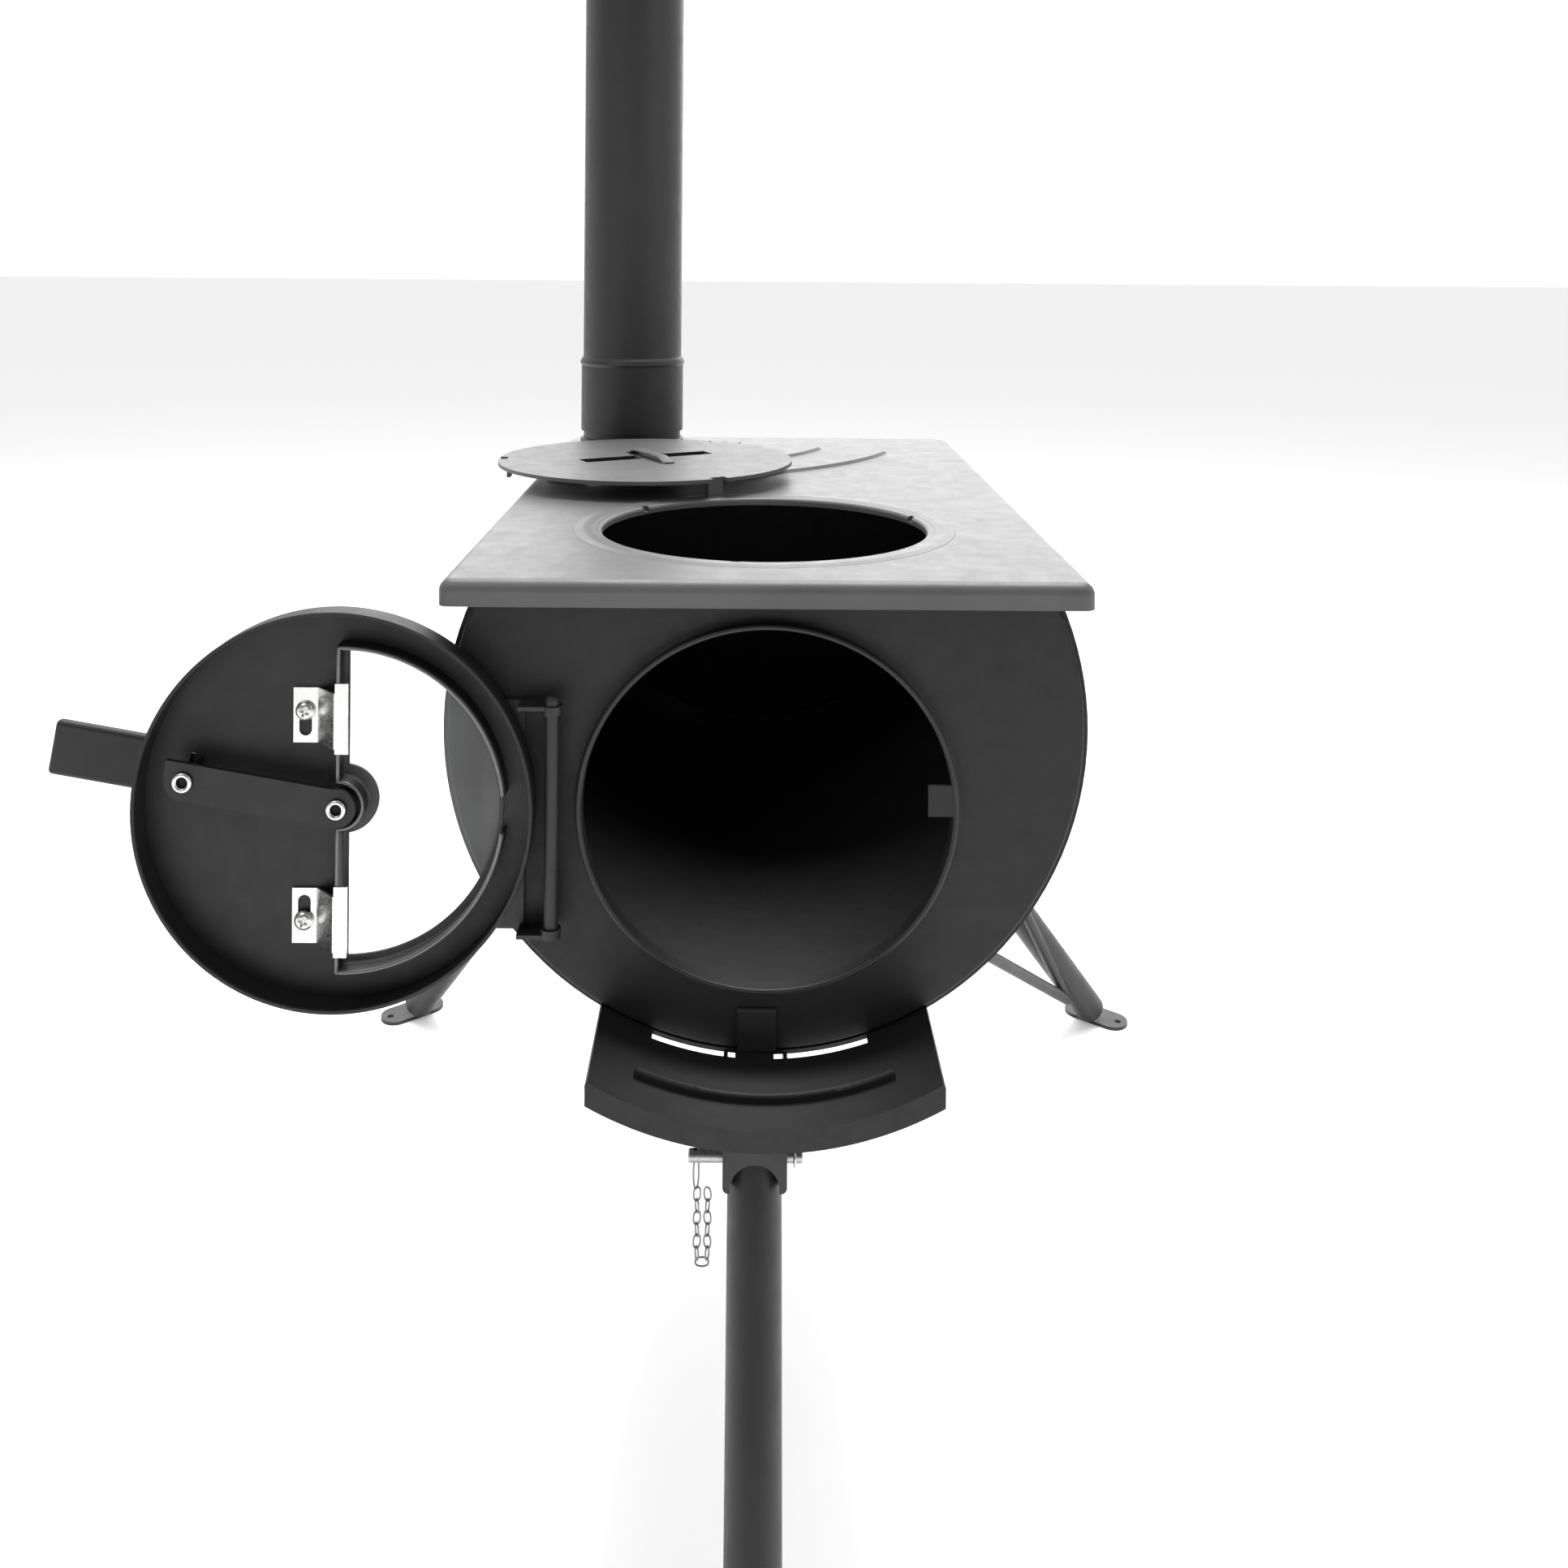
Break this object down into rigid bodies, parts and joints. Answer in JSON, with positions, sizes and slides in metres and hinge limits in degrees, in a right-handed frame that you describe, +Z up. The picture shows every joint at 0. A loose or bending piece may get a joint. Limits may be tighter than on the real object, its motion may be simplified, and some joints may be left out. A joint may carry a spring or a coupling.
{
  "type": "portable camp stove",
  "caption": "Portable wood-burning camp stove: barrel firebox on folding legs, flat cooktop with hob hole and lid, lift-off flue, round windowed door with a turning latch.",
  "frame": {"origin": "on the ground, on the centre line, under the face of the front disc", "axes": "+Z up, +X to the stove's right as seen from the front, the door side faces -Y"},
  "size_m": [0.7025, 0.8039, 1.0755],
  "materials": {
    "heat_paint": "matte black heat paint",
    "cooktop_paint": "satin black heat paint",
    "flue_paint": "satin black heat paint",
    "plated": "bright plated steel",
    "bright_steel": "plated steel",
    "glass": "clear heat-proof glass"
  },
  "bodies": {
    "stove": {"ash_shelf": "heat_paint", "catch_tab": "heat_paint", "cooktop_plate": "cooktop_paint", "firebox_shell": "heat_paint", "flue_collar": "flue_paint", "front_leg_bracket": "heat_paint", "front_plate": "heat_paint", "hinge_tube": "heat_paint", "hob_ring": "cooktop_paint", "lock_pin": "bright_steel", "pin_chain": "bright_steel", "pin_clip": "bright_steel", "rear_cheek_left_1": "heat_paint", "rear_cheek_left_2": "heat_paint", "rear_cheek_right_1": "heat_paint", "rear_cheek_right_2": "heat_paint", "rear_leg_pin_left": "heat_paint", "rear_leg_pin_right": "heat_paint", "rear_lug_pin_right": "heat_paint", "rear_lug_right": "heat_paint", "rear_plate": "heat_paint", "shelf_strap": "heat_paint"},
    "door": {"clip_screw_lower": "plated", "clip_screw_upper": "plated", "door_glass": "glass", "door_pan": "heat_paint", "glass_clip_lower": "plated", "glass_clip_upper": "plated", "glass_trim": "heat_paint", "hinge_pin": "heat_paint", "hinge_strap": "heat_paint", "hinge_washer_lower": "plated", "hinge_washer_upper": "plated"},
    "latch": {"door_handle": "heat_paint", "latch_bar": "heat_paint", "latch_lever": "heat_paint", "latch_link_rivet": "plated", "latch_pivot_rivet": "plated"},
    "lid": {"hob_lid": "cooktop_paint"},
    "flue": {"flue_section": "flue_paint"},
    "front_leg": {"front_leg_tube": "heat_paint", "front_foot": "heat_paint"},
    "rear_leg_right": {"rear_leg_tube_right": "heat_paint", "rear_foot_right": "heat_paint", "rear_stay_right": "heat_paint", "rear_brace_right": "heat_paint"},
    "rear_leg_left": {"rear_leg_tube_left": "heat_paint", "rear_foot_left": "heat_paint"}
  },
  "joints": [
    {"name": "door_hinge", "type": "hinge", "parent": "stove", "child": "door", "pos_m": [-0.1043, -0.0105, 0.445], "axis": [0, 0, 1], "range_deg": [0, 180]},
    {"name": "latch_turn", "type": "hinge", "parent": "door", "child": "latch", "pos_m": [-0.2069, -0.006, 0.4528], "axis": [0, 1, 0], "range_deg": [-4.2, 4.2]},
    {"name": "lid_lift", "type": "slide", "parent": "stove", "child": "lid", "axis": [0, 0, 1], "range_m": [0, 0.15]},
    {"name": "flue_lift", "type": "slide", "parent": "stove", "child": "flue", "axis": [0, 0, 1], "range_m": [0, 0.1]},
    {"name": "front_leg_fold", "type": "hinge", "parent": "stove", "child": "front_leg", "pos_m": [-0.004, 0.0024, 0.2745], "axis": [1, 0, 0], "range_deg": [0, 95]},
    {"name": "rear_leg_fold_right", "type": "hinge", "parent": "stove", "child": "rear_leg_right", "pos_m": [0.0987, 0.506, 0.33], "axis": [0.2789, 0.9581, 0.065], "range_deg": [0, 45]},
    {"name": "rear_leg_fold_left", "type": "hinge", "parent": "stove", "child": "rear_leg_left", "pos_m": [-0.0987, 0.506, 0.33], "axis": [-0.2789, 0.9581, 0.065], "range_deg": [-45, 0]}
  ]
}
